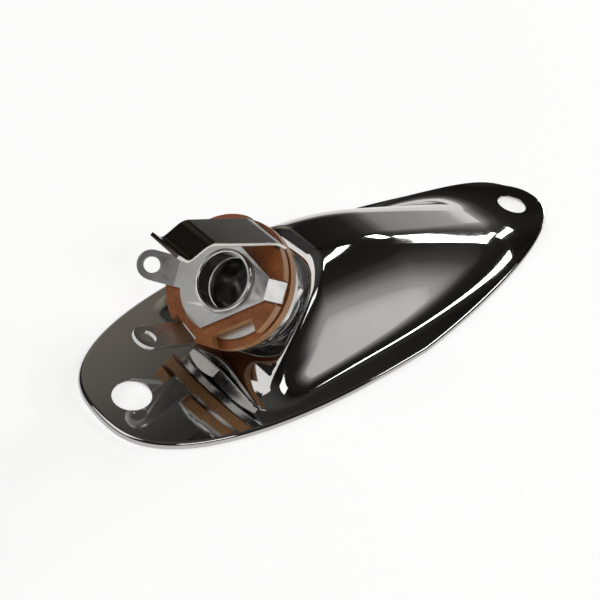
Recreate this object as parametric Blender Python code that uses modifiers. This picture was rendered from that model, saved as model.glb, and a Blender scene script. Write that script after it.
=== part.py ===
"""Output-jack plate with an open-frame quarter-inch socket bolted through its dish.

The plate lies on its front face at z = 0, back side up. X runs along the plate, with the
socket near the -X end. The origin is the middle of the plate's footprint.
The socket's parts are built in the frame of the empty "socket_axis": its origin is where the
socket's axis leaves the back of the dish wall, its +Z points rearward, out of the wall, and its
+Y is the world's +Y. Heights in the stack of socket parts are along that +Z.
"""
import math

import bmesh
import bpy
from mathutils import Matrix, Vector

MM = 0.001

# Plate
PLATE_LENGTH = 88.0 * MM
PLATE_WIDTH = 30.0 * MM
SHEET = 1.2 * MM
WIDEST_X = -1.6 * MM
LEFT_POWERS = (2.56, 2.67)
RIGHT_POWERS = (1.2, 2.28)
OUTLINE_STEPS = 96
SCREW_HOLES_X = (-39.1 * MM, 37.9 * MM)
SCREW_HOLE_RADIUS = 2.35 * MM
COUNTERSINK_RADIUS = 3.6 * MM
COUNTERSINK_DEPTH = 0.9 * MM

# Dish pressed into the plate
WALL_SLOPE = math.radians(50.3)
WALL_FOOT_X = -26.5 * MM
DISH_TOP = 13.7 * MM
CROWN_X = -9.0 * MM
DISH_END_X = 32.0 * MM
DISH_HALF_WIDTH = 11.4 * MM
DISH_TAPER_X = -8.0 * MM
DISH_TAPER = 2.5
SHOULDER = 0.5
CREST_BLEND = 1.6 * MM
CORNER_BLEND = 5.0 * MM
CORNER_Y = (6.0 * MM, 9.5 * MM)
SIDE_BLEND = 0.6
FOOT_BLEND = 2.2 * MM
FINE_GRID = 1.3 * MM
COARSE_GRID = 3.2 * MM

# Socket
SOCKET_HEIGHT = 8.27 * MM
BORE_RADIUS = 3.2 * MM
BORE_RELIEF_RADIUS = 3.32 * MM
BORE_RELIEF_DEPTH = 2.6 * MM
THREAD_RADIUS = 4.7 * MM
THREAD_END = -5.3 * MM
TUBE_RADIUS = 3.6 * MM
RIM_RADIUS = 3.85 * MM
RIM_HEIGHT = 0.65 * MM
HEX_ACROSS_FLATS = 12.4 * MM
HEX_TURN = math.radians(7.5)
GAP = 0.06 * MM
CLEARANCE = 0.1 * MM
WALL_HOLE_RADIUS = 4.9 * MM
METAL_SHEET = 0.5 * MM

# Thicknesses of the stack behind the wall, from the wall rearward
LOCK_WASHER = 0.8 * MM
HEX_FLANGE = 2.1 * MM
BACKING_WASHER = 1.0 * MM
INSULATOR = 1.3 * MM

# Thicknesses in front of the wall
DRESS_WASHER = 0.6 * MM
FRONT_GAP = 0.12 * MM
NUT = 2.2 * MM
NUT_ACROSS_FLATS = 12.0 * MM

LOCK_WASHER_RADII = (4.95 * MM, 6.5 * MM)
LOCK_WASHER_TEETH = 10
BACKING_RADIUS = 7.3 * MM
INSULATOR_RADIUS = 8.1 * MM
INSULATOR_SHIFT = (-0.1 * MM, 0.7 * MM)
COLLAR_RADIUS = 4.8 * MM
RING_RADII = (4.95 * MM, 6.6 * MM)
DRESS_WASHER_RADII = (4.9 * MM, 6.1 * MM)

# Directions round the socket's axis, from its local +X
SPRING_DIRECTION = 0.0
TIP_LUG_DIRECTION = math.radians(172.0)
SLEEVE_LUG_DIRECTION = math.radians(115.0)
TAB_DIRECTION = SLEEVE_LUG_DIRECTION + math.pi
POCKET_DIRECTION = math.radians(-123.0)

# Solder lugs
LUG_HALF_WIDTH = 1.85 * MM
EYELET_RADIUS = 1.0 * MM
SLEEVE_LUG_BEND = 7.0 * MM
SLEEVE_LUG_LENGTH = 3.25 * MM
SLEEVE_LUG_RISE = math.radians(38.0)
TIP_LUG_BEND = 8.1 * MM
TIP_LUG_LENGTH = 6.5 * MM
TIP_LUG_RISE = math.radians(69.0)
TIP_NECK_HALF_WIDTH = 1.6 * MM

# Sleeve contact's tapered outline
CONTACT_RADIUS = 6.25 * MM
CONTACT_NOSE = 6.0 * MM
CONTACT_NOSE_HALF_WIDTH = 1.25 * MM
CONTACT_TANGENT = math.radians(105.0)
TAB_LENGTH = 1.9 * MM
TAB_DROP = math.radians(18.0)

# Tip spring: its strip's centre line as (distance from the axis, height above the wall)
SPRING_HALF_WIDTH = 2.9 * MM
SPRING_TIP_HALF_WIDTH = 2.3 * MM
SPRING_SHEET = 0.45 * MM
SPRING_ROOT = 7.25 * MM
SPRING_LEAN_END = (3.65 * MM, 18.0 * MM)
SPRING_VALLEY = (0.75 * MM, 19.3 * MM)
SPRING_LIP_END = (0.95 * MM, 21.5 * MM)
SPRING_BEND = 0.8 * MM
SLOT_INNER = 6.75 * MM


def stack_heights():
    """Lower height of each part behind the wall, and the height of the stack's top."""
    heights = {}
    height = GAP
    parts = (("lock_washer", LOCK_WASHER), ("hex", HEX_FLANGE), ("backing", BACKING_WASHER),
             ("front_insulator", INSULATOR), ("ring", METAL_SHEET),
             ("rear_insulator", INSULATOR), ("contact", METAL_SHEET))
    for name, thickness in parts:
        heights[name] = height
        height += thickness + GAP
    heights["top"] = height
    return heights


HEIGHTS = stack_heights()


def clear_scene():
    for obj in list(bpy.data.objects):
        bpy.data.objects.remove(obj, do_unlink=True)


def make_collection(name):
    collection = bpy.data.collections.new(name)
    bpy.context.scene.collection.children.link(collection)
    return collection


def make_material(name, colour, metallic, roughness):
    material = bpy.data.materials.new(name)
    material.use_nodes = True
    shader = material.node_tree.nodes["Principled BSDF"]
    shader.inputs["Base Color"].default_value = (*colour, 1.0)
    shader.inputs["Metallic"].default_value = metallic
    shader.inputs["Roughness"].default_value = roughness
    return material


def smooth_min(a, b, blend):
    """Lower of two heights, with a round transition of the given size."""
    overlap = max(blend - abs(a - b), 0.0) / blend
    return min(a, b) - overlap * overlap * blend / 4


def dish_half_width(x):
    taper = max(x - DISH_TAPER_X, 0.0) / MM
    return DISH_HALF_WIDTH - DISH_TAPER * MM * taper ** 2 / 1000


def crest_blend(y):
    """Size of the bend between wall and dish: tight on top, wide at the two corners."""
    start, end = CORNER_Y
    share = min(max((abs(y) - start) / (end - start), 0.0), 1.0)
    return CREST_BLEND + CORNER_BLEND * share * share * (3 - 2 * share)


def ramp_height(x):
    """Height of the dish's crown line, falling from the crown to the dish's far end."""
    share = (DISH_END_X - x) / (DISH_END_X - CROWN_X)
    return smooth_min(DISH_TOP, DISH_TOP * share, 2 * CREST_BLEND)


def back_height(x, y):
    """Height of the plate's back face above its own flat rim."""
    wall = (x - WALL_FOOT_X) * math.tan(WALL_SLOPE)
    side = (1 - abs(y) / dish_half_width(x)) / (1 - SHOULDER)
    crown = ramp_height(x) * smooth_min(side, 1.0, SIDE_BLEND)
    raised = smooth_min(wall, crown, crest_blend(y))
    return -smooth_min(-raised, 0.0, FOOT_BLEND)


def plate_outline(margin=0.0):
    """Plan outline: a blunt half towards the socket and a pointed half at the far end."""
    points = []
    for step in range(OUTLINE_STEPS):
        angle = 2 * math.pi * (step + 0.5) / OUTLINE_STEPS
        cosine, sine = math.cos(angle), math.sin(angle)
        right = cosine >= 0
        power_x, power_y = RIGHT_POWERS if right else LEFT_POWERS
        reach = PLATE_LENGTH / 2 - WIDEST_X if right else PLATE_LENGTH / 2 + WIDEST_X
        x = WIDEST_X + math.copysign((reach + margin) * abs(cosine) ** (2 / power_x), cosine)
        y = math.copysign((PLATE_WIDTH / 2 + margin) * abs(sine) ** (2 / power_y), sine)
        points.append((x, y))
    return points


def grid_lines(start, end, fine_start, fine_end):
    """Coordinates from start to end, closer together between fine_start and fine_end."""
    lines = [start]
    while lines[-1] < end:
        here = lines[-1]
        inside = fine_start <= here < fine_end
        lines.append(here + (FINE_GRID if inside else COARSE_GRID))
    return lines


def object_from_bmesh(name, bm, collection, material=None, parent=None):
    mesh = bpy.data.meshes.new(name)
    bm.normal_update()
    bm.to_mesh(mesh)
    bm.free()
    obj = bpy.data.objects.new(name, mesh)
    collection.objects.link(obj)
    if material:
        mesh.materials.append(material)
    obj.parent = parent
    return obj


def prism_bmesh(loops, low, high):
    """Solid between two heights over a flat outline, with any further loops as holes."""
    curve = bpy.data.curves.new("outline", "CURVE")
    curve.dimensions = "2D"
    curve.fill_mode = "BOTH"
    curve.extrude = (high - low) / 2
    curve.resolution_u = 1
    curve.render_resolution_u = 0
    for loop in loops:
        spline = curve.splines.new("POLY")
        spline.points.add(len(loop) - 1)
        spline.use_cyclic_u = True
        for point, (x, y) in zip(spline.points, loop):
            point.co = (x, y, 0, 1)
    holder = bpy.data.objects.new("outline", curve)
    bpy.context.scene.collection.objects.link(holder)
    graph = bpy.context.evaluated_depsgraph_get()
    mesh = bpy.data.meshes.new_from_object(holder.evaluated_get(graph))
    bpy.data.objects.remove(holder, do_unlink=True)
    bm = bmesh.new()
    bm.from_mesh(mesh)
    bmesh.ops.remove_doubles(bm, verts=bm.verts, dist=0.001 * MM)
    bmesh.ops.recalc_face_normals(bm, faces=bm.faces)
    bmesh.ops.translate(bm, verts=bm.verts, vec=(0, 0, (low + high) / 2))
    bpy.data.meshes.remove(mesh)
    return bm


def circle(radius, steps=48, centre=(0.0, 0.0)):
    angles = [2 * math.pi * step / steps for step in range(steps)]
    return [(centre[0] + radius * math.cos(a), centre[1] + radius * math.sin(a)) for a in angles]


def hexagon(across_flats, turn):
    corner = across_flats / 2 / math.cos(math.pi / 6)
    angles = [turn + math.pi / 3 * step for step in range(6)]
    return [(corner * math.cos(a), corner * math.sin(a)) for a in angles]


def turned(name, profile, collection, material=None, parent=None, steps=48):
    """Solid of revolution about Z. The closed profile runs down its outer side."""
    bm = bmesh.new()
    verts = [bm.verts.new((radius, 0, height)) for radius, height in profile]
    for index, vert in enumerate(verts):
        bm.edges.new((vert, verts[(index + 1) % len(verts)]))
    obj = object_from_bmesh(name, bm, collection, material, parent)
    screw = obj.modifiers.new("turn", "SCREW")
    screw.steps = steps
    screw.render_steps = steps
    screw.use_merge_vertices = True
    screw.merge_threshold = 0.00001
    return obj


def ring_profile(inner, outer, low, high):
    return [(outer, high), (outer, low), (inner, low), (inner, high)]


def boolean(obj, cutter, operation):
    modifier = obj.modifiers.new(cutter.name, "BOOLEAN")
    modifier.operation = operation
    modifier.object = cutter
    modifier.solver = "EXACT"


def place_cutter(cutter):
    cutter.hide_render = True
    cutter.display_type = "WIRE"
    return cutter


def shade_round(obj):
    obj.data.shade_smooth()
    obj.data.set_sharp_from_angle(angle=math.radians(35))


def direction_matrix(angle):
    return Matrix.Rotation(angle, 4, "Z")


def make_plate(parts, cutters, chrome):
    """Sheet pressed to the dish's form, cut to the outline and pierced."""
    half_length, half_width = PLATE_LENGTH / 2, PLATE_WIDTH / 2
    margin = 2 * MM
    xs = grid_lines(-half_length - margin, half_length + margin, WALL_FOOT_X - margin, CROWN_X)
    half_ys = grid_lines(0.0, half_width + margin, 4 * MM, DISH_HALF_WIDTH)
    ys = [-y for y in reversed(half_ys[1:])] + half_ys
    bm = bmesh.new()
    rows = [[bm.verts.new((x, y, SHEET + back_height(x, y))) for y in ys] for x in xs]
    for row, next_row in zip(rows, rows[1:]):
        for index in range(len(ys) - 1):
            bm.faces.new((row[index], next_row[index], next_row[index + 1], row[index + 1]))
    plate = object_from_bmesh("jack_plate", bm, parts, chrome)
    solidify = plate.modifiers.new("sheet", "SOLIDIFY")
    solidify.thickness = SHEET
    solidify.offset = -1
    solidify.use_even_offset = True

    blank = object_from_bmesh("plate_blank", prism_bmesh([plate_outline()], -MM, 20 * MM), cutters)
    boolean(plate, place_cutter(blank), "INTERSECT")
    for index, x in enumerate(SCREW_HOLES_X):
        profile = [(SCREW_HOLE_RADIUS, 2 * MM), (SCREW_HOLE_RADIUS, COUNTERSINK_DEPTH),
                   (COUNTERSINK_RADIUS, 0.0), (COUNTERSINK_RADIUS, -MM), (0, -MM), (0, 2 * MM)]
        cutter = turned("screw_hole_%d" % (index + 1), profile, cutters, steps=32)
        cutter.location = (x, 0, 0)
        boolean(plate, place_cutter(cutter), "DIFFERENCE")
    shade_round(plate)
    return plate


def make_socket_axis(parts):
    axis = bpy.data.objects.new("socket_axis", None)
    parts.objects.link(axis)
    foot_to_axis = (SOCKET_HEIGHT - SHEET) / math.tan(WALL_SLOPE)
    axis.location = (WALL_FOOT_X + foot_to_axis, 0, SOCKET_HEIGHT)
    axis.rotation_euler = (0, -WALL_SLOPE, 0)
    return axis


def make_wall_hole(cutters, axis, plate):
    profile = ring_profile(0, WALL_HOLE_RADIUS, -4 * MM, 4 * MM)
    cutter = turned("wall_hole", profile, cutters, parent=axis)
    boolean(plate, place_cutter(cutter), "DIFFERENCE")


def make_bushing(parts, cutters, axis, metal):
    """Threaded barrel, hex flange and the tube whose end is rolled over the sleeve contact."""
    hex_low = HEIGHTS["hex"]
    hex_high = hex_low + HEX_FLANGE
    top = HEIGHTS["top"]
    relief = top + RIM_HEIGHT - BORE_RELIEF_DEPTH
    profile = [(BORE_RELIEF_RADIUS + 0.12 * MM, top + RIM_HEIGHT),
               (RIM_RADIUS - 0.15 * MM, top + RIM_HEIGHT),
               (RIM_RADIUS, top + RIM_HEIGHT - 0.2 * MM),
               (RIM_RADIUS, top + 0.1 * MM),
               (RIM_RADIUS - 0.1 * MM, top),
               (TUBE_RADIUS, top),
               (TUBE_RADIUS, hex_high - 0.2 * MM),
               (HEX_ACROSS_FLATS / 2 - 0.6 * MM, hex_high - 0.2 * MM),
               (HEX_ACROSS_FLATS / 2 - 0.6 * MM, hex_low),
               (THREAD_RADIUS, hex_low),
               (THREAD_RADIUS, THREAD_END + 0.4 * MM),
               (THREAD_RADIUS - 0.4 * MM, THREAD_END),
               (BORE_RADIUS + 0.3 * MM, THREAD_END),
               (BORE_RADIUS, THREAD_END + 0.3 * MM),
               (BORE_RADIUS, relief),
               (BORE_RELIEF_RADIUS, relief),
               (BORE_RELIEF_RADIUS, top + RIM_HEIGHT - 0.12 * MM)]
    bushing = turned("bushing", profile, parts, metal, axis)
    hole = circle(TUBE_RADIUS + 0.4 * MM)
    flange = prism_bmesh([hexagon(HEX_ACROSS_FLATS, HEX_TURN), hole], hex_low, hex_high)
    cutter = object_from_bmesh("hex_flange", flange, cutters, parent=axis)
    boolean(bushing, place_cutter(cutter), "UNION")
    shade_round(bushing)


def make_lock_washer(parts, axis, metal):
    """Flat ring with a saw-tooth inner edge."""
    inner, outer = LOCK_WASHER_RADII
    teeth = []
    for step in range(LOCK_WASHER_TEETH * 2):
        angle = math.pi * step / LOCK_WASHER_TEETH
        radius = inner if step % 2 else inner + 0.6 * MM
        for shift in (-0.11, 0.11):
            teeth.append((radius * math.cos(angle + shift), radius * math.sin(angle + shift)))
    low = HEIGHTS["lock_washer"]
    bm = prism_bmesh([circle(outer), teeth], low, low + LOCK_WASHER)
    object_from_bmesh("lock_washer", bm, parts, metal, axis)


def make_ring(name, inner, outer, low, thickness, parts, axis, material):
    ring = turned(name, ring_profile(inner, outer, low, low + thickness), parts, material, axis)
    shade_round(ring)
    return ring


def insulator_disc(name, low, parts, axis, phenolic):
    """Disc stamped a little off centre, so its rim stands further out on one side."""
    rim = circle(INSULATOR_RADIUS, 64, INSULATOR_SHIFT)
    bm = prism_bmesh([rim, circle(TUBE_RADIUS + CLEARANCE)], low, low + INSULATOR)
    return object_from_bmesh(name, bm, parts, phenolic, axis)


def make_front_insulator(parts, cutters, axis, phenolic):
    """Disc with a raised collar that keeps the tip ring away from the tube."""
    low = HEIGHTS["front_insulator"]
    disc = insulator_disc("insulator_front", low, parts, axis, phenolic)
    collar_top = HEIGHTS["rear_insulator"] - GAP
    profile = ring_profile(TUBE_RADIUS + CLEARANCE, COLLAR_RADIUS, low, collar_top)
    collar = turned("collar", profile, cutters, parent=axis)
    boolean(disc, place_cutter(collar), "UNION")
    shade_round(disc)


def box_bmesh(low_corner, high_corner, angle=0.0):
    """Box between two corners, then turned about Z."""
    low, high = Vector(low_corner), Vector(high_corner)
    bm = bmesh.new()
    bmesh.ops.create_cube(bm, size=1.0)
    bmesh.ops.scale(bm, verts=bm.verts, vec=high - low)
    bmesh.ops.translate(bm, verts=bm.verts, vec=(high + low) / 2)
    bmesh.ops.transform(bm, verts=bm.verts, matrix=direction_matrix(angle))
    return bm


def make_rear_insulator(parts, cutters, axis, phenolic):
    """Disc notched for the tip spring, the tip lug and the tab, with a pocket in one side."""
    low = HEIGHTS["rear_insulator"]
    disc = insulator_disc("insulator_rear", low, parts, axis, phenolic)
    below, above = low - MM, low + INSULATOR + MM
    far = INSULATOR_RADIUS + MM
    slot_half = SPRING_HALF_WIDTH + 0.15 * MM
    openings = (
        ("spring_slot", SLOT_INNER, far, -slot_half, slot_half, SPRING_DIRECTION),
        ("tip_lug_notch", 7.35 * MM, far, -2.1 * MM, 2.1 * MM, TIP_LUG_DIRECTION),
        ("tab_notch", 5.85 * MM, far, -1.5 * MM, 1.5 * MM, TAB_DIRECTION),
        ("disc_pocket", 5.4 * MM, far, -3.7 * MM, 2.0 * MM, POCKET_DIRECTION),
    )
    for name, inner, outer, left, right, angle in openings:
        bm = box_bmesh((inner, left, below), (outer, right, above), angle)
        cutter = object_from_bmesh(name, bm, cutters, parent=axis)
        boolean(disc, place_cutter(cutter), "DIFFERENCE")
    shade_round(disc)


def lug_outline(length):
    """Straight strip from x = 0 that ends in a round eyelet centred at the given length."""
    arc = [math.radians(-90 + 15 * step) for step in range(13)]
    points = [(0.0, LUG_HALF_WIDTH), (0.0, -LUG_HALF_WIDTH)]
    points += [(length + LUG_HALF_WIDTH * math.cos(a), LUG_HALF_WIDTH * math.sin(a)) for a in arc]
    return [points, circle(EYELET_RADIUS, 24, (length, 0.0))]


def add_lug(obj, name, cutters, axis, bend, height, length, rise, angle):
    """Joins a bent-up solder lug to a flat contact. The strip folds about its middle plane."""
    bm = prism_bmesh(lug_outline(length), -METAL_SHEET / 2, METAL_SHEET / 2)
    fold = Matrix.Rotation(-rise, 4, "Y")
    place = Matrix.Translation((bend, 0, height + METAL_SHEET / 2))
    bmesh.ops.transform(bm, verts=bm.verts, matrix=direction_matrix(angle) @ place @ fold)
    lug = object_from_bmesh(name, bm, cutters, parent=axis)
    boolean(obj, place_cutter(lug), "UNION")


def make_tip_terminal(parts, cutters, axis, metal):
    """Ring between the insulators with the spring's root and the tip's solder lug."""
    low = HEIGHTS["ring"]
    inner, outer = RING_RADII
    ring = turned("tip_terminal", ring_profile(inner, outer, low, low + METAL_SHEET), parts,
                  metal, axis)
    root_end = SPRING_ROOT - 0.25 * MM
    arms = (("spring_root", root_end, SPRING_HALF_WIDTH, SPRING_DIRECTION),
            ("tip_neck", TIP_LUG_BEND, TIP_NECK_HALF_WIDTH, TIP_LUG_DIRECTION))
    for name, reach, half, angle in arms:
        bm = box_bmesh((inner + 0.4 * MM, -half, low), (reach, half, low + METAL_SHEET), angle)
        arm = object_from_bmesh(name, bm, cutters, parent=axis)
        boolean(ring, place_cutter(arm), "UNION")
    add_lug(ring, "tip_lug", cutters, axis, TIP_LUG_BEND, low, TIP_LUG_LENGTH, TIP_LUG_RISE,
            TIP_LUG_DIRECTION)
    shade_round(ring)


def contact_outline():
    """Round back edge with flanks that narrow to a square nose, nose towards +X."""
    start = CONTACT_TANGENT
    sweep = 2 * math.pi - 2 * start
    steps = 18
    points = [(CONTACT_RADIUS * math.cos(start + sweep * step / steps),
               CONTACT_RADIUS * math.sin(start + sweep * step / steps))
              for step in range(steps + 1)]
    points.append((CONTACT_NOSE, -CONTACT_NOSE_HALF_WIDTH))
    points.append((CONTACT_NOSE, CONTACT_NOSE_HALF_WIDTH))
    return points


def make_sleeve_contact(parts, cutters, axis, metal):
    """Grounded plate under the rolled rim, with a solder lug and a tab folded into the disc."""
    low = HEIGHTS["contact"]
    bm = prism_bmesh([contact_outline(), circle(TUBE_RADIUS + CLEARANCE)], low,
                     low + METAL_SHEET)
    bmesh.ops.transform(bm, verts=bm.verts, matrix=direction_matrix(TAB_DIRECTION))
    contact = object_from_bmesh("sleeve_contact", bm, parts, metal, axis)
    neck = box_bmesh((-SLEEVE_LUG_BEND, -LUG_HALF_WIDTH, low),
                     (-CONTACT_RADIUS + MM, LUG_HALF_WIDTH, low + METAL_SHEET), TAB_DIRECTION)
    neck_cutter = object_from_bmesh("sleeve_neck", neck, cutters, parent=axis)
    boolean(contact, place_cutter(neck_cutter), "UNION")
    add_lug(contact, "sleeve_lug", cutters, axis, SLEEVE_LUG_BEND, low, SLEEVE_LUG_LENGTH,
            SLEEVE_LUG_RISE, SLEEVE_LUG_DIRECTION)

    tab = box_bmesh((-0.3 * MM, -CONTACT_NOSE_HALF_WIDTH, -METAL_SHEET / 2),
                    (TAB_LENGTH, CONTACT_NOSE_HALF_WIDTH, METAL_SHEET / 2))
    fold = Matrix.Rotation(TAB_DROP, 4, "Y")
    place = Matrix.Translation((CONTACT_NOSE, 0, low + METAL_SHEET / 2))
    matrix = direction_matrix(TAB_DIRECTION) @ place @ fold
    bmesh.ops.transform(tab, verts=tab.verts, matrix=matrix)
    tab_cutter = object_from_bmesh("locating_tab", tab, cutters, parent=axis)
    boolean(contact, place_cutter(tab_cutter), "UNION")
    shade_round(contact)


def rounded_path(corners, radius, steps=5):
    """Polyline through the corners with each inner corner replaced by a smooth bend."""
    points = [Vector(corners[0])]
    for before, corner, after in zip(corners, corners[1:], corners[2:]):
        corner = Vector(corner)
        start = corner + (Vector(before) - corner).normalized() * radius
        end = corner + (Vector(after) - corner).normalized() * radius
        for step in range(steps + 1):
            t = step / steps
            points.append(start * (1 - t) ** 2 + corner * 2 * t * (1 - t) + end * t ** 2)
    points.append(Vector(corners[-1]))
    return points


def make_tip_spring(parts, axis, metal):
    """Leaf that rises from the tip ring, leans over the bore and ends in a V contact.

    Its origin lies on the line about which it flexes, at the leaf's root.
    """
    root_height = HEIGHTS["ring"] + METAL_SHEET / 2
    corners = [(0.0, 0.0), (0.1 * MM, 1.6 * MM),
               (SPRING_LEAN_END[0] - SPRING_ROOT, SPRING_LEAN_END[1] - root_height),
               (SPRING_VALLEY[0] - SPRING_ROOT, SPRING_VALLEY[1] - root_height),
               (SPRING_LIP_END[0] - SPRING_ROOT, SPRING_LIP_END[1] - root_height)]
    path = rounded_path(corners, SPRING_BEND)
    top = path[-1].y
    bm = bmesh.new()
    rows = []
    for point in path:
        share = max(point.y, 0.0) / top
        half = SPRING_HALF_WIDTH + (SPRING_TIP_HALF_WIDTH - SPRING_HALF_WIDTH) * share
        rows.append([bm.verts.new((point.x, side * half, point.y)) for side in (-1, 1)])
    for row, next_row in zip(rows, rows[1:]):
        bm.faces.new((row[0], row[1], next_row[1], next_row[0]))
    spring = object_from_bmesh("tip_spring", bm, parts, metal, axis)
    spring.location = direction_matrix(SPRING_DIRECTION) @ Vector((SPRING_ROOT, 0, root_height))
    spring.rotation_euler = (0, 0, SPRING_DIRECTION)
    solidify = spring.modifiers.new("sheet", "SOLIDIFY")
    solidify.thickness = SPRING_SHEET
    solidify.offset = 0
    shade_round(spring)


def make_front_hardware(parts, axis, metal):
    """Dress washer and hex nut inside the dish, each with its origin on the socket's axis."""
    washer_low = -SHEET - FRONT_GAP - DRESS_WASHER
    inner, outer = DRESS_WASHER_RADII
    washer = make_ring("dress_washer", inner, outer, 0.0, DRESS_WASHER, parts, axis, metal)
    washer.location = (0, 0, washer_low)
    nut_bm = prism_bmesh([hexagon(NUT_ACROSS_FLATS, math.pi / 2),
                          circle(THREAD_RADIUS + CLEARANCE / 2)], 0.0, NUT)
    nut = object_from_bmesh("hex_nut", nut_bm, parts, metal, axis)
    nut.location = (0, 0, washer_low - GAP - NUT)
    shade_round(nut)


def build():
    clear_scene()
    parts = make_collection("output_jack_plate")
    cutters = make_collection("cutters")
    chrome = make_material("plate_chrome", (0.55, 0.54, 0.53), 1.0, 0.06)
    nickel = make_material("bushing_nickel", (0.62, 0.61, 0.58), 1.0, 0.22)
    washer_steel = make_material("washer_steel", (0.55, 0.55, 0.55), 1.0, 0.3)
    contact_metal = make_material("contact_metal", (0.66, 0.65, 0.62), 1.0, 0.28)
    spring_metal = make_material("spring_metal", (0.5, 0.48, 0.45), 1.0, 0.25)
    phenolic = make_material("phenolic", (0.45, 0.17, 0.05), 0.0, 0.55)

    plate = make_plate(parts, cutters, chrome)
    axis = make_socket_axis(parts)
    make_wall_hole(cutters, axis, plate)
    make_bushing(parts, cutters, axis, nickel)
    make_lock_washer(parts, axis, washer_steel)
    make_ring("backing_washer", TUBE_RADIUS + CLEARANCE, BACKING_RADIUS, HEIGHTS["backing"],
              BACKING_WASHER, parts, axis, washer_steel)
    make_front_insulator(parts, cutters, axis, phenolic)
    make_tip_terminal(parts, cutters, axis, contact_metal)
    make_rear_insulator(parts, cutters, axis, phenolic)
    make_sleeve_contact(parts, cutters, axis, contact_metal)
    make_tip_spring(parts, axis, spring_metal)
    make_front_hardware(parts, axis, washer_steel)


build()
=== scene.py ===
import math

import bmesh
import bpy
import numpy as np
from mathutils import Matrix, Vector
from mathutils.geometry import delaunay_2d_cdt


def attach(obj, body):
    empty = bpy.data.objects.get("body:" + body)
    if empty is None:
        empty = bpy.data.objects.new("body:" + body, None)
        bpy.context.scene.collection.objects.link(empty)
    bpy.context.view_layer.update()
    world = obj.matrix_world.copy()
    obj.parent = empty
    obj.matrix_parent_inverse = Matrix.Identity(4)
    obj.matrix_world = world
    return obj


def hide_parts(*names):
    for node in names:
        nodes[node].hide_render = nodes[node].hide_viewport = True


MM = 0.001
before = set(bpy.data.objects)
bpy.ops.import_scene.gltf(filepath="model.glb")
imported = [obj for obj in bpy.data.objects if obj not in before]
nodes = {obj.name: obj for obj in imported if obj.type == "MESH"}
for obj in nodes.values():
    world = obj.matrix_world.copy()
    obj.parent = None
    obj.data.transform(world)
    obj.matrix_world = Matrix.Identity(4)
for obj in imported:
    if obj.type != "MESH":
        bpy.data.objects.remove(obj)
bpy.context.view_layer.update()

# ---------------------------------------------------------------- dimensions, in mm as in the CAD
PLATE_LENGTH, PLATE_WIDTH, SHEET = 88.0, 30.0, 1.2
WIDEST_X = -1.6
LEFT_POWERS, RIGHT_POWERS = (2.56, 2.67), (1.2, 2.28)
SCREW_HOLES_X = (-39.1, 37.9)
SCREW_HOLE_RADIUS, COUNTERSINK_RADIUS, COUNTERSINK_DEPTH = 2.35, 3.6, 0.9
WALL_SLOPE = math.radians(50.3)
WALL_FOOT_X, DISH_TOP, CROWN_X, DISH_END_X = -26.5, 13.7, -9.0, 32.0
DISH_HALF_WIDTH, DISH_TAPER_X, DISH_TAPER, SHOULDER = 11.4, -8.0, 2.5, 0.5
CREST_BLEND, CORNER_BLEND, CORNER_Y = 1.6, 5.0, (6.0, 9.5)
SIDE_BLEND, FOOT_BLEND = 0.6, 2.2
SOCKET_HEIGHT = 8.27
WALL_HOLE_RADIUS = 4.9
EDGE = 0.5

# Socket heights above the wall's rear face, along the socket's axis
HEX_LOW, HEX_HIGH, TOP = 0.92, 3.02, 7.98
HEX_ACROSS_FLATS, HEX_TURN, NUT_ACROSS_FLATS = 12.4, math.radians(7.5), 12.0
THREAD_RADIUS, THREAD_END, THREAD_PITCH = 4.7, -5.3, 0.79375
BORE_RADIUS, RELIEF_RADIUS, RELIEF_DEPTH = 3.2, 3.32, 2.6
TUBE_RADIUS, RIM_RADIUS, RIM_HEIGHT = 3.6, 3.85, 0.65
NUT_BACK, NUT_FRONT = -1.98, -4.18

# Small forms that only this model has, in mm
HOLE_ROUND, COUNTERSINK_ROUND, LIP = 0.12, 0.1, 0.05
THREAD_ROOT, THREAD_START, THREAD_RUNOUT, NUT_CLEARANCE = 0.42, -1.25, 0.4, 0.05
THREAD_FORM = ((0.02, 0.40), (0.10, 0.37), (0.42, 0.06), (0.46, 0.01), (0.54, 0.01), (0.58, 0.06),
               (0.90, 0.37), (0.98, 0.40))
RIM_ROUND, NECK_ROUND = 0.27, 0.2
HEX_CHAMFER, CHAMFER_SLOPE, BORE_CHAMFER = 0.12, math.radians(28), 0.25
OUTLINE_STEPS, HOLE_STEPS, HEX_STEPS = 480, 96, 360
COARSE_GRID, FINE_GRID, TRIANGLE_RISE = 0.62, 0.31, 0.8660254


def socket_matrix():
    foot_to_axis = (SOCKET_HEIGHT - SHEET) / math.tan(WALL_SLOPE)
    place = Matrix.Translation(Vector((WALL_FOOT_X + foot_to_axis, 0, SOCKET_HEIGHT)) * MM)
    return place @ Matrix.Rotation(-WALL_SLOPE, 4, "Y") @ Matrix.Scale(MM, 4)


SOCKET = socket_matrix()


# ---------------------------------------------------------------- materials
METAL_RELIEF, FIBRE_RELIEF = 0.00002, 0.00003


def new_material(name):
    material = bpy.data.materials.new(name)
    material.use_nodes = True
    tree = material.node_tree
    shader = tree.nodes["Principled BSDF"]
    return material, tree, shader


def node(tree, kind, inputs=None, **settings):
    made = tree.nodes.new(kind)
    for key, value in settings.items():
        setattr(made, key, value)
    for key, value in (inputs or {}).items():
        if hasattr(value, "is_output"):
            tree.links.new(value, made.inputs[key])
        else:
            made.inputs[key].default_value = value
    return made


def ramp(tree, factor, stops):
    made = tree.nodes.new("ShaderNodeValToRGB")
    tree.links.new(factor, made.inputs["Fac"])
    elements = made.color_ramp.elements
    while len(elements) < len(stops):
        elements.new(0.5)
    for element, (position, colour) in zip(elements, stops):
        element.position = position
        element.color = colour if len(colour) == 4 else (*colour, 1.0)
    return made.outputs["Color"]


def grey(value):
    return (value, value, value)


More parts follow.
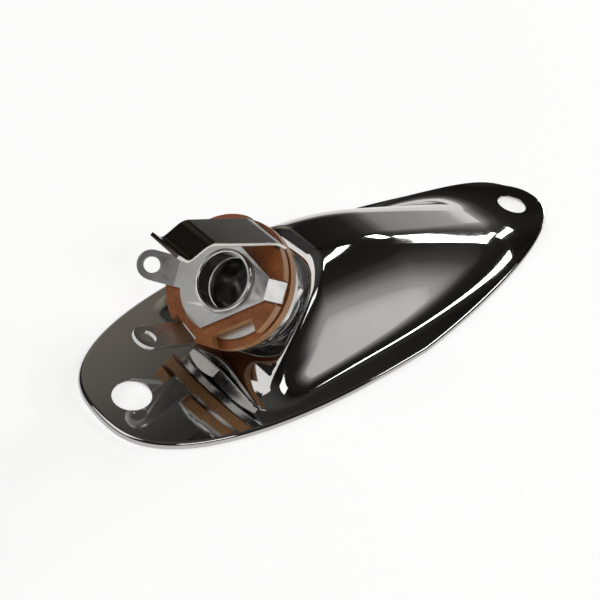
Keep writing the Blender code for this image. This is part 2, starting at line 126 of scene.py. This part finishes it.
def metal(name, dark, light, rough, spread, scale, bump, stretch=(1, 1, 1)):
    """Bare or plated metal: tint and roughness vary with two noises, with fine surface relief."""
    material, tree, shader = new_material(name)
    place = node(tree, "ShaderNodeTexCoord").outputs["Object"]
    mapped = node(tree, "ShaderNodeMapping", {"Vector": place, "Scale": stretch}).outputs["Vector"]
    cloud = node(tree, "ShaderNodeTexNoise", {"Vector": place, "Scale": scale, "Detail": 3.0})
    fine = node(tree, "ShaderNodeTexNoise", {"Vector": mapped, "Scale": scale * 9, "Detail": 6.0})
    colour = ramp(tree, cloud.outputs["Fac"], [(0.3, dark), (0.7, light)])
    tree.links.new(colour, shader.inputs["Base Color"])
    level = ramp(tree, fine.outputs["Fac"], [(0.25, grey(rough)), (0.75, grey(rough + spread))])
    tree.links.new(level, shader.inputs["Roughness"])
    relief = node(tree, "ShaderNodeBump", {"Height": fine.outputs["Fac"], "Strength": bump,
                                           "Distance": METAL_RELIEF})
    tree.links.new(relief.outputs["Normal"], shader.inputs["Normal"])
    shader.inputs["Metallic"].default_value = 1.0
    return material


def paint_edge_highlight(material, colour):
    """Paints a highlight on the strip's cut edges, which face along Y, as a pale colour."""
    tree = material.node_tree
    shader = tree.nodes["Principled BSDF"]
    base = shader.inputs["Base Color"].links[0].from_socket
    facing = node(tree, "ShaderNodeTexCoord").outputs["Normal"]
    along = node(tree, "ShaderNodeVectorMath", {0: facing, 1: (0, 1, 0)}, operation="DOT_PRODUCT")
    side_on = node(tree, "ShaderNodeMath", {0: along.outputs["Value"]}, operation="ABSOLUTE")
    edge_highlight_mask = ramp(tree, side_on.outputs[0], [(0.3, grey(0.0)), (0.8, grey(1.0))])
    mixed = node(tree, "ShaderNodeMix", {0: edge_highlight_mask, 6: base, 7: (*colour, 1.0)}, data_type="RGBA")
    tree.links.new(mixed.outputs[2], shader.inputs["Base Color"])


def phenolic_material():
    """Paper laminate: warm brown faces with faint fibre mottling."""
    material, tree, shader = new_material("phenolic_board")
    place = node(tree, "ShaderNodeTexCoord").outputs["Object"]
    cloud = node(tree, "ShaderNodeTexNoise", {"Vector": place, "Scale": 420.0, "Detail": 5.0})
    fibre = node(tree, "ShaderNodeTexNoise", {"Vector": place, "Scale": 3500.0, "Detail": 4.0})
    base = ramp(tree, cloud.outputs["Fac"], [(0.25, (0.25, 0.068, 0.012)), (0.5, (0.36, 0.102, 0.018)),
                                             (0.8, (0.47, 0.15, 0.03))])
    # Rim faces, whose normals lie square to the socket's axis, get a paler tan: a painted highlight.
    facing = node(tree, "ShaderNodeTexCoord").outputs["Normal"]
    along = node(tree, "ShaderNodeVectorMath", {0: facing, 1: tuple(SOCKET.to_3x3().col[2] / MM)},
                 operation="DOT_PRODUCT")
    side_on = node(tree, "ShaderNodeMath", {0: along.outputs["Value"]}, operation="ABSOLUTE")
    rim_highlight_mask = ramp(tree, side_on.outputs[0], [(0.25, grey(0.7)), (0.85, grey(0.0))])
    rim_highlight = node(tree, "ShaderNodeMix", {0: rim_highlight_mask, 6: base, 7: (0.50, 0.28, 0.11, 1.0)},
                data_type="RGBA")
    speck = ramp(tree, fibre.outputs["Fac"], [(0.35, grey(0.75)), (0.7, grey(1.15))])
    mixed = node(tree, "ShaderNodeMix", {0: 1.0, 6: rim_highlight.outputs[2], 7: speck}, data_type="RGBA",
                 blend_type="MULTIPLY")
    tree.links.new(mixed.outputs[2], shader.inputs["Base Color"])
    level = ramp(tree, fibre.outputs["Fac"], [(0.2, grey(0.34)), (0.8, grey(0.52))])
    tree.links.new(level, shader.inputs["Roughness"])
    relief = node(tree, "ShaderNodeBump", {"Height": fibre.outputs["Fac"], "Strength": 0.25,
                                           "Distance": FIBRE_RELIEF})
    tree.links.new(relief.outputs["Normal"], shader.inputs["Normal"])
    return material


CHROME = metal("chrome_plating", (0.41, 0.40, 0.385), (0.50, 0.49, 0.475), 0.035, 0.03, 60.0, 0.02)
NICKEL = metal("turned_nickel", (0.60, 0.59, 0.57), (0.74, 0.73, 0.70), 0.13, 0.10, 150.0, 0.10)
STEEL = metal("plated_steel", (0.50, 0.50, 0.50), (0.64, 0.64, 0.63), 0.17, 0.12, 160.0, 0.12)
CONTACT = metal("tinned_contact", (0.60, 0.595, 0.575), (0.76, 0.75, 0.73), 0.27, 0.12, 120.0, 0.10)
# The leaf's very dark brown base colour is a painted dark reflection: the plated strip reflects dark
# surroundings.
LEAF = metal("leaf_spring", (0.055, 0.042, 0.033), (0.125, 0.102, 0.083), 0.15, 0.10, 120.0, 0.10,
             (1, 14, 1))
# Painted highlight on the leaf's cut edges
paint_edge_highlight(LEAF, (0.62, 0.60, 0.56))
PHENOLIC = phenolic_material()


# ---------------------------------------------------------------- mesh helpers
def add_object(name, mesh, material, matrix=None):
    obj = bpy.data.objects.new(name, mesh)
    bpy.context.scene.collection.objects.link(obj)
    mesh.materials.append(material)
    if matrix is not None:
        mesh.transform(matrix)
    return obj


def smooth(obj, angle=32.0):
    obj.data.shade_smooth()
    obj.data.set_sharp_from_angle(angle=math.radians(angle))


def revolve(name, profile, material, steps=192):
    """Closed profile of (radius, height) in mm turned about the socket's axis."""
    ring = np.array(profile)
    count = len(ring)
    angles = np.linspace(0, 2 * math.pi, steps, endpoint=False)
    points = np.stack([np.outer(np.cos(angles), ring[:, 0]), np.outer(np.sin(angles), ring[:, 0]),
                       np.tile(ring[:, 1], (steps, 1))], -1).reshape(-1, 3)
    faces = []
    for step in range(steps):
        after = (step + 1) % steps
        for index in range(count):
            follow = (index + 1) % count
            faces.append((step * count + index, step * count + follow,
                          after * count + follow, after * count + index))
    mesh = bpy.data.meshes.new(name)
    mesh.from_pydata(points.tolist(), [], faces)
    face_out(mesh)
    obj = add_object(name, mesh, material, SOCKET)
    smooth(obj)
    return obj


def face_out(mesh):
    bm = bmesh.new()
    bm.from_mesh(mesh)
    bmesh.ops.recalc_face_normals(bm, faces=bm.faces)
    bm.to_mesh(mesh)
    bm.free()


def arc(centre, radius, start, end, steps=6):
    """Points on a circle, angles in degrees."""
    angles = [math.radians(start + (end - start) * step / steps) for step in range(steps + 1)]
    return [(centre[0] + radius * math.cos(a), centre[1] + radius * math.sin(a)) for a in angles]


# ---------------------------------------------------------------- plate
def smooth_min(a, b, blend):
    overlap = np.maximum(blend - np.abs(a - b), 0.0) / blend
    return np.minimum(a, b) - overlap * overlap * blend / 4


def back_height(x, y):
    taper = np.maximum(x - DISH_TAPER_X, 0.0)
    half = DISH_HALF_WIDTH - DISH_TAPER * taper ** 2 / 1000
    share = (DISH_END_X - x) / (DISH_END_X - CROWN_X)
    crown_line = smooth_min(DISH_TOP, DISH_TOP * share, 2 * CREST_BLEND)
    side = (1 - np.abs(y) / half) / (1 - SHOULDER)
    crown = crown_line * smooth_min(side, 1.0, SIDE_BLEND)
    wall = (x - WALL_FOOT_X) * math.tan(WALL_SLOPE)
    corner = np.clip((np.abs(y) - CORNER_Y[0]) / (CORNER_Y[1] - CORNER_Y[0]), 0.0, 1.0)
    raised = smooth_min(wall, crown, CREST_BLEND + CORNER_BLEND * corner * corner * (3 - 2 * corner))
    return -smooth_min(-raised, 0.0, FOOT_BLEND)


def surface_normals(x, y):
    step = 0.02
    slope_x = (back_height(x + step, y) - back_height(x - step, y)) / (2 * step)
    slope_y = (back_height(x, y + step) - back_height(x, y - step)) / (2 * step)
    normals = np.stack([-slope_x, -slope_y, np.ones_like(x)], -1)
    return normals / np.linalg.norm(normals, axis=-1, keepdims=True)


def plate_outline(margin, steps=OUTLINE_STEPS):
    angles = 2 * math.pi * (np.arange(steps) + 0.5) / steps
    cosine, sine = np.cos(angles), np.sin(angles)
    right = cosine >= 0
    power_x = np.where(right, RIGHT_POWERS[0], LEFT_POWERS[0])
    power_y = np.where(right, RIGHT_POWERS[1], LEFT_POWERS[1])
    reach = np.where(right, PLATE_LENGTH / 2 - WIDEST_X, PLATE_LENGTH / 2 + WIDEST_X)
    x = WIDEST_X + np.sign(cosine) * (reach + margin) * np.abs(cosine) ** (2 / power_x)
    y = np.sign(sine) * (PLATE_WIDTH / 2 + margin) * np.abs(sine) ** (2 / power_y)
    return np.stack([x, y], -1)


def outline_value(x, y, margin):
    """Below 1 inside the outline grown by margin."""
    right = x >= WIDEST_X
    power_x = np.where(right, RIGHT_POWERS[0], LEFT_POWERS[0])
    power_y = np.where(right, RIGHT_POWERS[1], LEFT_POWERS[1])
    reach = np.where(right, PLATE_LENGTH / 2 - WIDEST_X, PLATE_LENGTH / 2 + WIDEST_X) + margin
    across = PLATE_WIDTH / 2 + margin
    return (np.abs(x - WIDEST_X) / reach) ** power_x + (np.abs(y) / across) ** power_y


def disc_loop(x, radius_x, radius_y, steps):
    angles = 2 * math.pi * np.arange(steps) / steps
    return np.stack([x + radius_x * np.cos(angles), radius_y * np.sin(angles)], -1)


def face_sheet(hole_radius):
    """2D triangles over the plate between its outline and its holes."""
    wall_x = WALL_FOOT_X + (SOCKET_HEIGHT - SHEET) / math.tan(WALL_SLOPE)
    holes = [(x, hole_radius, hole_radius) for x in SCREW_HOLES_X]
    holes.append((wall_x, WALL_HOLE_RADIUS * math.cos(WALL_SLOPE), WALL_HOLE_RADIUS))
    loops = [plate_outline(-EDGE)] + [disc_loop(x, a, b, HOLE_STEPS) for x, a, b in holes]
    spots = []
    for step, fine in ((COARSE_GRID, False), (FINE_GRID, True)):
        xs = np.arange(-PLATE_LENGTH / 2, PLATE_LENGTH / 2, step)
        ys = np.arange(-PLATE_WIDTH / 2, PLATE_WIDTH / 2 + step, step * TRIANGLE_RISE)
        grid_x, grid_y = np.meshgrid(xs, ys)
        grid_x = grid_x + np.where(np.arange(len(ys)) % 2, step / 2, 0.0)[:, None]
        x, y = grid_x.ravel(), grid_y.ravel()
        in_dish = (x > WALL_FOOT_X - 1.5) & (x < DISH_END_X + 2) & (np.abs(y) < DISH_HALF_WIDTH + 1.5)
        keep = (in_dish == fine) & (outline_value(x, y, -EDGE - step * 0.5) < 1)
        for hole_x, a, b in holes:
            keep &= ((x - hole_x) / (a + step * 0.4)) ** 2 + (y / (b + step * 0.4)) ** 2 > 1
        spots.append(np.stack([x[keep], y[keep]], -1))
    points, edges = [], []
    for loop in loops:
        base = len(points)
        points += [Vector(p) for p in loop]
        edges += [(base + i, base + (i + 1) % len(loop)) for i in range(len(loop))]
    points += [Vector(p) for p in np.concatenate(spots)]
    verts, _, faces, _, _, _ = delaunay_2d_cdt(points, edges, [], 0, 1e-6)
    flat = np.array([tuple(v) for v in verts])
    tris = np.array([f for f in faces if len(f) == 3])
    middle = flat[tris].mean(axis=1)
    keep = outline_value(middle[:, 0], middle[:, 1], -EDGE) < 1.0005
    for hole_x, a, b in holes:
        keep &= ((middle[:, 0] - hole_x) / a) ** 2 + (middle[:, 1] / b) ** 2 > 0.999
    return flat, tris[keep]


def strip(count, first, second):
    return [(first + i, first + (i + 1) % count, second + (i + 1) % count, second + i)
            for i in range(count)]


def make_plate():
    points, normals, faces = [], [], []

    def add(new_points, new_normals):
        base = sum(len(p) for p in points)
        points.append(np.asarray(new_points))
        normals.append(np.asarray(new_normals))
        return base

    for side, hole_radius in ((1, SCREW_HOLE_RADIUS + HOLE_ROUND),
                              (-1, COUNTERSINK_RADIUS + COUNTERSINK_ROUND)):
        flat, tris = face_sheet(hole_radius)
        x, y = flat[:, 0], flat[:, 1]
        normal = surface_normals(x, y)
        top = np.stack([x, y, SHEET + back_height(x, y)], -1)
        if side < 0:
            top = top - normal * SHEET
            tris = tris[:, ::-1]
        base = add(top, normal * side)
        faces += [tuple(int(i) + base for i in tri) for tri in tris]

    steps = OUTLINE_STEPS
    rings = []
    for angle in (90, 75, 60, 45, 30, 15, 0, -15, -30, -45, -60, -75, -90):
        turn = math.radians(angle)
        loop = plate_outline(-EDGE + EDGE * math.cos(turn), steps)
        ahead = np.roll(loop, -1, axis=0) - np.roll(loop, 1, axis=0)
        out = np.stack([ahead[:, 1], -ahead[:, 0]], -1)
        out /= np.linalg.norm(out, axis=1, keepdims=True)
        middle = SHEET / 2 + (SHEET / 2 - EDGE) * np.sign(turn)
        height = np.full(steps, middle + EDGE * math.sin(turn))
        normal = np.column_stack([out * math.cos(turn), np.full(steps, math.sin(turn))])
        rings.append(add(np.column_stack([loop, height]), normal))
    for first, second in zip(rings, rings[1:]):
        faces += [face[::-1] for face in strip(steps, first, second)]

    for hole_x in SCREW_HOLES_X:
        profile = [(SCREW_HOLE_RADIUS + HOLE_ROUND, SHEET, 0, 1),
                   (SCREW_HOLE_RADIUS + 0.035, SHEET - 0.035, -0.7, 0.7),
                   (SCREW_HOLE_RADIUS, SHEET - HOLE_ROUND, -1, 0),
                   (SCREW_HOLE_RADIUS, COUNTERSINK_DEPTH + LIP, -1, 0),
                   (SCREW_HOLE_RADIUS, COUNTERSINK_DEPTH + LIP, -0.7, -0.7),
                   (COUNTERSINK_RADIUS - LIP, LIP, -0.7, -0.7),
                   (COUNTERSINK_RADIUS + COUNTERSINK_ROUND, 0.0, 0, -1)]
        rings = []
        around = 2 * math.pi * np.arange(HOLE_STEPS) / HOLE_STEPS
        for radius, height, out, up in profile:
            loop = disc_loop(hole_x, radius, radius, HOLE_STEPS)
            normal = np.column_stack([out * np.cos(around), out * np.sin(around),
                                      np.full(HOLE_STEPS, up)])
            rings.append(add(np.column_stack([loop, np.full(HOLE_STEPS, height)]), normal))
        for first, second in zip(rings, rings[1:]):
            faces += strip(HOLE_STEPS, first, second)

    every = np.concatenate(points)
    mesh = bpy.data.meshes.new("plate_shell")
    mesh.from_pydata((every * MM).tolist(), [], faces)
    mesh.shade_smooth()
    unit = np.concatenate(normals)
    unit = unit / np.linalg.norm(unit, axis=1, keepdims=True)
    mesh.normals_split_custom_set_from_vertices(unit.tolist())
    return add_object("plate_shell", mesh, CHROME)


plate = make_plate()
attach(plate, "plate")
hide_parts("jack_plate")


# ---------------------------------------------------------------- bushing, its hex flange and the nut
def barrel_profile():
    inner = BORE_RADIUS
    profile = []
    relief = TOP + RIM_HEIGHT - RELIEF_DEPTH
    rim_middle = TOP + RIM_HEIGHT - RIM_ROUND
    profile += arc((RIM_RADIUS - RIM_ROUND, rim_middle), RIM_ROUND, 180, 0, 12)
    profile += arc((RIM_RADIUS - NECK_ROUND, TOP + NECK_ROUND), NECK_ROUND, 0, -90, 6)
    profile += [(TUBE_RADIUS, TOP), (TUBE_RADIUS, HEX_LOW), (THREAD_RADIUS - THREAD_ROOT, HEX_LOW)]
    height = THREAD_START
    profile.append((THREAD_RADIUS - THREAD_ROOT, height))
    while height - THREAD_PITCH / 2 > THREAD_END + 0.45:
        for share, depth in THREAD_FORM:
            at = height - THREAD_PITCH * share
            if at > THREAD_END + THREAD_RUNOUT:
                profile.append((THREAD_RADIUS - depth, at))
        height -= THREAD_PITCH
    profile += [(THREAD_RADIUS - THREAD_ROOT, THREAD_END + 0.08), (THREAD_RADIUS - 0.5, THREAD_END)]
    profile += [(inner + 0.4, THREAD_END)]
    profile += arc((inner + 0.4, THREAD_END + 0.4), 0.4, -90, -180, 6)[1:]
    profile += [(inner, relief - 0.1), (inner + 0.06, relief), (RELIEF_RADIUS, relief + 0.02),
                (RELIEF_RADIUS, rim_middle - 0.25), (RELIEF_RADIUS - 0.02, rim_middle - 0.1)]
    return profile


def hex_piece(name, low, high, inner, across_flats, turn, material):
    """Six-sided ring with chamfered corners on both faces and a chamfered bore."""
    steps = HEX_STEPS
    angles = 2 * math.pi * np.arange(steps) / steps + turn
    local = (np.arange(steps) % 60) - 30
    half = across_flats / 2
    reach = half / np.cos(np.radians(local))
    start = half - HEX_CHAMFER
    drop = (reach - start) * math.tan(CHAMFER_SLOPE)
    flat = np.minimum(reach, start)
    ones = np.ones(steps)
    rows = [(inner + BORE_CHAMFER, high), (flat, high), (reach - 0.03, high - drop + 0.01),
            (reach, high - drop - 0.03), (reach, low + drop + 0.03),
            (reach - 0.03, low + drop - 0.01), (flat, low), (inner + BORE_CHAMFER, low),
            (inner, low + BORE_CHAMFER), (inner, high - BORE_CHAMFER)]
    points = []
    for radius, height in rows:
        points.append(np.column_stack([radius * ones * np.cos(angles), radius * ones * np.sin(angles),
                                       height * ones]))
    faces = []
    for index in range(len(rows)):
        faces += strip(steps, index * steps, (index + 1) % len(rows) * steps)
    mesh = bpy.data.meshes.new(name)
    mesh.from_pydata(np.concatenate(points).tolist(), [], faces)
    face_out(mesh)
    obj = add_object(name, mesh, material, SOCKET)
    smooth(obj, 24.0)
    return obj


barrel = revolve("bushing_barrel", barrel_profile(), NICKEL)
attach(barrel, "plate")
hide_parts("bushing")
flange = hex_piece("bushing_hex", HEX_LOW, HEX_HIGH, TUBE_RADIUS - 0.1, HEX_ACROSS_FLATS, HEX_TURN,
                   NICKEL)
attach(flange, "plate")
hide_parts("bushing")
# The nut's bore is plain and clears the barrel's ring grooves, so it can slide past them
nut = hex_piece("front_nut", NUT_FRONT, NUT_BACK, THREAD_RADIUS + NUT_CLEARANCE, NUT_ACROSS_FLATS,
                math.pi / 2, STEEL)
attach(nut, "nut")
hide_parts("hex_nut")


# ---------------------------------------------------------------- CAD pieces that keep their shape
def dress(name, material, bevel):
    """Gives a CAD piece its finish and softens its edges."""
    obj = nodes[name]
    obj.data.materials.clear()
    obj.data.materials.append(material)
    weld = obj.modifiers.new("weld", "WELD")
    weld.merge_threshold = 0.000002
    soften = obj.modifiers.new("soften", "BEVEL")
    soften.width = bevel * MM
    soften.segments = 3
    soften.limit_method = "ANGLE"
    soften.angle_limit = math.radians(30.0)
    soften.use_clamp_overlap = True
    soften.harden_normals = False
    shade = obj.modifiers.new("shade", "WEIGHTED_NORMAL")
    shade.keep_sharp = True
    obj.data.shade_smooth()


dress("lock_washer", STEEL, 0.05)
dress("backing_washer", STEEL, 0.12)
dress("dress_washer", STEEL, 0.12)
dress("insulator_front", PHENOLIC, 0.07)
dress("insulator_rear", PHENOLIC, 0.07)
dress("tip_terminal", CONTACT, 0.08)
dress("sleeve_contact", CONTACT, 0.08)
dress("tip_spring", LEAF, 0.08)


# ---------------------------------------------------------------- floor, lights, camera
FLOOR_REACH, FLOOR_DROP, FLOOR_GLOW = 0.42, 0.00002, 0.62
UNDER_PLATE = (0.032, 0.0115)
FLOOR_ASIDE = (0.57, -0.82, 0)
LAMP_DISTANCE = 1.0
WARM_SIDE = (0.407, 0.765, 0.5)
BACKDROP = (0.9, 0.9, 0.9, 1.0)


def make_floor():
    """Pale disc that glows a little, except under the plate, and less on its -Y side."""
    mesh = bpy.data.meshes.new("floor")
    reach, steps = FLOOR_REACH, 96
    around = [2 * math.pi * step / steps for step in range(steps)]
    mesh.from_pydata([(reach * math.cos(a), reach * math.sin(a), 0) for a in around], [],
                     [tuple(range(steps))])
    material, tree, shader = new_material("pale_floor")
    place = node(tree, "ShaderNodeTexCoord").outputs["Object"]
    cloud = node(tree, "ShaderNodeTexNoise", {"Vector": place, "Scale": 3.0, "Detail": 2.0})
    colour = ramp(tree, cloud.outputs["Fac"], [(0.3, grey(0.88)), (0.7, grey(0.91))])
    tree.links.new(colour, shader.inputs["Base Color"])
    shader.inputs["Roughness"].default_value = 0.9
    shader.inputs["Specular IOR Level"].default_value = 0.1
    shader.inputs["Emission Color"].default_value = (1, 1, 1, 1)
    flat = node(tree, "ShaderNodeMapping", {"Vector": place, "Scale": (1 / UNDER_PLATE[0],
                                                                  1 / UNDER_PLATE[1], 1)})
    length = node(tree, "ShaderNodeVectorMath", {0: flat.outputs["Vector"]}, operation="LENGTH")
    glow = node(tree, "ShaderNodeMapRange", {"Value": length.outputs["Value"], "From Min": 0.9,
                                             "From Max": 1.15, "To Min": 0.0, "To Max": FLOOR_GLOW})
    aside = node(tree, "ShaderNodeVectorMath", {0: place, 1: FLOOR_ASIDE},
                 operation="DOT_PRODUCT")
    shade = node(tree, "ShaderNodeMapRange", {"Value": aside.outputs["Value"], "From Min": 0.05,
                                              "From Max": 0.16, "To Min": 1.0, "To Max": 0.3})
    dimmed = node(tree, "ShaderNodeMath", {0: glow.outputs["Result"], 1: shade.outputs["Result"]},
                  operation="MULTIPLY")
    tree.links.new(dimmed.outputs[0], shader.inputs["Emission Strength"])
    floor = add_object("floor", mesh, material)
    floor.location.z = -FLOOR_DROP


def softbox(name, azimuth, elevation, width, height, strength):
    """Area light facing the object. Azimuth is from +X towards +Y, in degrees."""
    a, e = math.radians(azimuth), math.radians(elevation)
    away = Vector((math.cos(a) * math.cos(e), math.sin(a) * math.cos(e), math.sin(e)))
    light = bpy.data.lights.new(name, "AREA")
    light.shape = "RECTANGLE"
    light.size, light.size_y = width, height
    light.energy = strength * width * height
    lamp = bpy.data.objects.new(name, light)
    bpy.context.scene.collection.objects.link(lamp)
    lamp.location = away * LAMP_DISTANCE
    lamp.rotation_mode = "QUATERNION"
    lamp.rotation_quaternion = away.to_track_quat("Z", "Y")


def make_world():
    """Dark studio with a bright horizon and a warm patch. The camera sees a pale backdrop."""
    world = bpy.data.worlds.new("studio")
    bpy.context.scene.world = world
    world.use_nodes = True
    tree = world.node_tree
    back = tree.nodes["Background"]
    place = node(tree, "ShaderNodeTexCoord").outputs["Generated"]
    split = node(tree, "ShaderNodeSeparateXYZ", {"Vector": place})
    sky = ramp(tree, split.outputs["Z"], [(0.0, grey(0.50)), (0.05, grey(0.30)), (0.13, grey(0.10)),
                                          (0.24, (0.030, 0.029, 0.027)), (0.6, (0.014, 0.013, 0.012)),
                                          (1.0, grey(0.10))])
    towards = node(tree, "ShaderNodeVectorMath", {0: place, 1: WARM_SIDE},
                   operation="DOT_PRODUCT")
    patch = ramp(tree, towards.outputs["Value"], [(0.925, grey(0.0)), (1.0, (0.36, 0.33, 0.28))])
    added = node(tree, "ShaderNodeMix", {0: 1.0, 6: sky, 7: patch}, data_type="RGBA",
                 blend_type="ADD")
    colour = added.outputs[2]
    seen = node(tree, "ShaderNodeLightPath").outputs["Is Camera Ray"]
    shown = node(tree, "ShaderNodeMix", {0: seen, 6: colour, 7: BACKDROP},
                 data_type="RGBA")
    tree.links.new(shown.outputs[2], back.inputs["Color"])
    back.inputs["Strength"].default_value = 1.0


CAMERA_PLACE = (-0.089117, -0.060500, 0.085471)
CAMERA_RIGHT = (0.714385, -0.677667, 0.174418)
CAMERA_UP = (0.351024, 0.562679, 0.748448)
CAMERA_BACK = (-0.605340, -0.473455, 0.639847)
LENS, SENSOR, SHIFT = 57.474, 36.0, (-0.0023, -0.0041)


def make_camera():
    data = bpy.data.cameras.new("camera")
    data.lens = LENS
    data.sensor_width = SENSOR
    data.shift_x, data.shift_y = SHIFT
    data.clip_start, data.clip_end = 0.005, 20.0
    camera = bpy.data.objects.new("camera", data)
    bpy.context.scene.collection.objects.link(camera)
    turn = Matrix((CAMERA_RIGHT, CAMERA_UP, CAMERA_BACK)).transposed().to_4x4()
    camera.matrix_world = Matrix.Translation(CAMERA_PLACE) @ turn
    bpy.context.scene.camera = camera


make_floor()
make_world()
softbox("key", 162.0, 46.0, 0.75, 0.70, 4.6)
softbox("ridge", 13.0, 19.0, 0.20, 0.07, 70.0)
softbox("ridge_far", 3.0, 13.0, 0.26, 0.05, 50.0)
softbox("foot", -20.0, 38.0, 0.70, 0.08, 26.0)
softbox("near", -100.0, 38.0, 0.45, 0.25, 8.0)
bpy.context.scene.view_settings.view_transform = "Standard"
make_camera()
